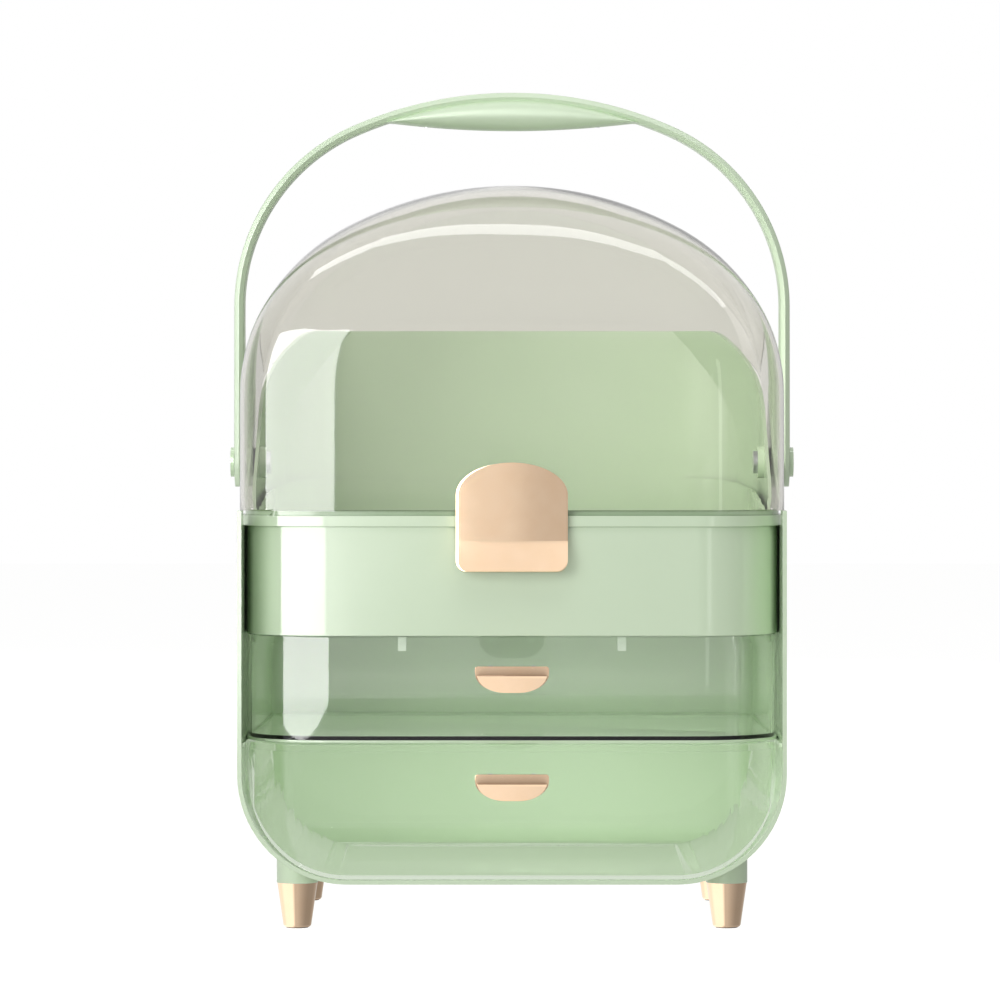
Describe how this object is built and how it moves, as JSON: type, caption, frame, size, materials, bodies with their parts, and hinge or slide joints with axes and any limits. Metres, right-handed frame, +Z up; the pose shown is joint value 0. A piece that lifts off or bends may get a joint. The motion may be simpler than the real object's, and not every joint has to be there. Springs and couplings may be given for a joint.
{
  "type": "vanity organizer",
  "caption": "Round-bottomed vanity organizer on short legs, with sliding clear drawers, a compartment under a clear dome lid and an arched carrying handle.",
  "frame": {"origin": "on the surface it stands on, under the centre of its bounding box", "axes": "+X to the right of someone facing the drawers, +Y to the back, +Z up"},
  "size_m": [0.2972, 0.2182, 0.4335],
  "materials": {
    "green_plastic": "glossy moulded ABS",
    "clear_plastic": "clear polished polystyrene",
    "smoky_plastic": "clear smoky polished polystyrene",
    "rose_plating": "polished rose-gold plating",
    "screw_steel": "zinc-plated steel",
    "washer_nylon": "matt moulded nylon",
    "pad_rubber": "matt rubber"
  },
  "bodies": {
    "case": {"body_shell": "green_plastic", "drawer_shelf": "green_plastic", "upper_tray": "green_plastic", "back_shell": "green_plastic", "back_shell_screws": "screw_steel", "pivot_pin_left": "green_plastic", "pivot_pin_right": "green_plastic", "pivot_nut_left": "screw_steel", "pivot_nut_right": "screw_steel", "friction_washer_left": "washer_nylon", "friction_washer_right": "washer_nylon", "lid_spacer_left": "washer_nylon", "lid_spacer_right": "washer_nylon", "leg_cap_front_left": "rose_plating", "leg_cap_front_right": "rose_plating", "leg_cap_rear_left": "rose_plating", "leg_cap_rear_right": "rose_plating", "leg_screws": "screw_steel", "leg_pads": "pad_rubber"},
    "lid": {"lid_dome": "smoky_plastic", "lid_tab": "rose_plating", "tab_screws": "screw_steel"},
    "handle": {"handle_strap": "green_plastic", "handle_grip": "green_plastic", "grip_screws": "screw_steel"},
    "middle_drawer": {"middle_drawer": "clear_plastic", "middle_pull": "rose_plating", "middle_pull_screws": "screw_steel", "middle_catches": "clear_plastic"},
    "lower_drawer": {"lower_drawer": "clear_plastic", "lower_pull": "rose_plating", "lower_pull_screws": "screw_steel"}
  },
  "joints": [
    {"name": "lid_hinge", "type": "hinge", "parent": "case", "child": "lid", "pos_m": [0, 0.0041, 0.2386], "axis": [-1, 0, 0], "range_deg": [0, 45]},
    {"name": "handle_hinge", "type": "hinge", "parent": "case", "child": "handle", "pos_m": [0, 0.0041, 0.2386], "axis": [-1, 0, 0], "range_deg": [-90, 90]},
    {"name": "middle_drawer_slide", "type": "slide", "parent": "case", "child": "middle_drawer", "axis": [0, -1, 0], "range_m": [0, 0.15]},
    {"name": "lower_drawer_slide", "type": "slide", "parent": "case", "child": "lower_drawer", "axis": [0, -1, 0], "range_m": [0, 0.15]}
  ]
}
